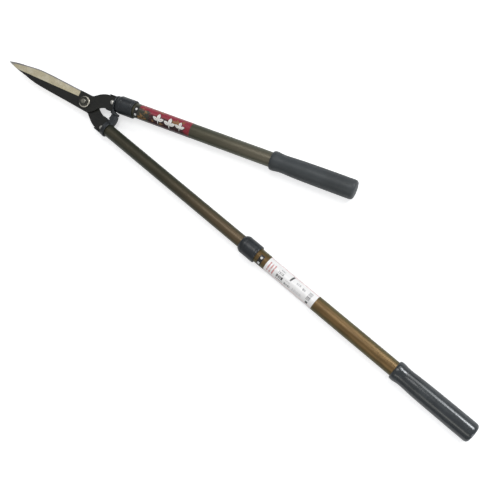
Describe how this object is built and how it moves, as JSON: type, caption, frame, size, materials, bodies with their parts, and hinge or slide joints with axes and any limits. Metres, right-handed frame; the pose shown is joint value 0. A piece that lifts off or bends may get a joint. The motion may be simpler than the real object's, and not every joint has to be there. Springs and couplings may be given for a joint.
{
  "type": "telescopic hedge shears",
  "caption": "Two-handed garden shears with crossed willow-leaf blades on a bolt pivot, and telescopic tube handles with twist-lock collars and swelled grips.",
  "frame": {"origin": "centre of the pivot bolt's head face", "axes": "+X from the pivot towards the handles along the closed blades, +Z out of the nut side, +Y towards the short handle"},
  "size_m": [0.8683, 0.2351, 0.0287],
  "materials": {
    "blade_steel": "satin black coating, bare ground bevel",
    "bright_steel": "zinc plated",
    "dark_nut": "blackened",
    "bracket_plastic": "satin moulded",
    "collar_plastic": "satin moulded",
    "bush_plastic": "matte moulded",
    "inner_tube_paint": "gloss dark olive brown",
    "short_tube_paint": "gloss olive bronze",
    "long_tube_paint": "gloss bronze",
    "grip_plastic": "glossy dark blue grey",
    "red_label": "printed film",
    "white_label": "printed film",
    "lock_decal": "printed film"
  },
  "bodies": {
    "long_side": {"rear_blade": "blade_steel", "pivot_bolt": "bright_steel", "pivot_washer": "bright_steel", "pivot_nut": "dark_nut", "long_rivet": "bright_steel", "long_socket": "bracket_plastic", "long_inner_tube": "inner_tube_paint", "long_guide_bush": "bush_plastic"},
    "short_side": {"front_blade": "blade_steel", "short_rivet": "bright_steel", "short_socket": "bracket_plastic", "short_inner_tube": "inner_tube_paint", "short_guide_bush": "bush_plastic"},
    "short_outer": {"short_outer_tube": "short_tube_paint", "short_grip": "grip_plastic", "short_lock_collet": "bush_plastic", "short_label": "red_label", "short_lock_decal": "lock_decal"},
    "short_collar": {"short_lock_collar": "collar_plastic"},
    "long_outer": {"long_outer_tube": "long_tube_paint", "long_grip": "grip_plastic", "long_lock_collet": "bush_plastic", "long_label": "white_label", "long_lock_decal": "lock_decal"},
    "long_collar": {"long_lock_collar": "collar_plastic"}
  },
  "joints": [
    {"name": "blade_pivot", "type": "hinge", "parent": "long_side", "child": "short_side", "pos_m": [0, 0, 0.00875], "axis": [0, 0, 1], "range_deg": [0, 55]},
    {"name": "short_extend", "type": "slide", "parent": "short_side", "child": "short_outer", "axis": [0.9919, 0.1267, 0], "range_m": [0, 0.268]},
    {"name": "long_extend", "type": "slide", "parent": "long_side", "child": "long_outer", "axis": [0.9844, -0.1761, 0], "range_m": [-0.268, 0]},
    {"name": "short_lock_twist", "type": "hinge", "parent": "short_outer", "child": "short_collar", "pos_m": [0.0646, 0.02352, 0.00875], "axis": [0.9919, 0.1267, 0], "range_deg": [0, 60]},
    {"name": "long_lock_twist", "type": "hinge", "parent": "long_outer", "child": "long_collar", "pos_m": [0.33669, -0.07064, 0.00875], "axis": [0.9844, -0.1761, 0], "range_deg": [0, 60]}
  ]
}
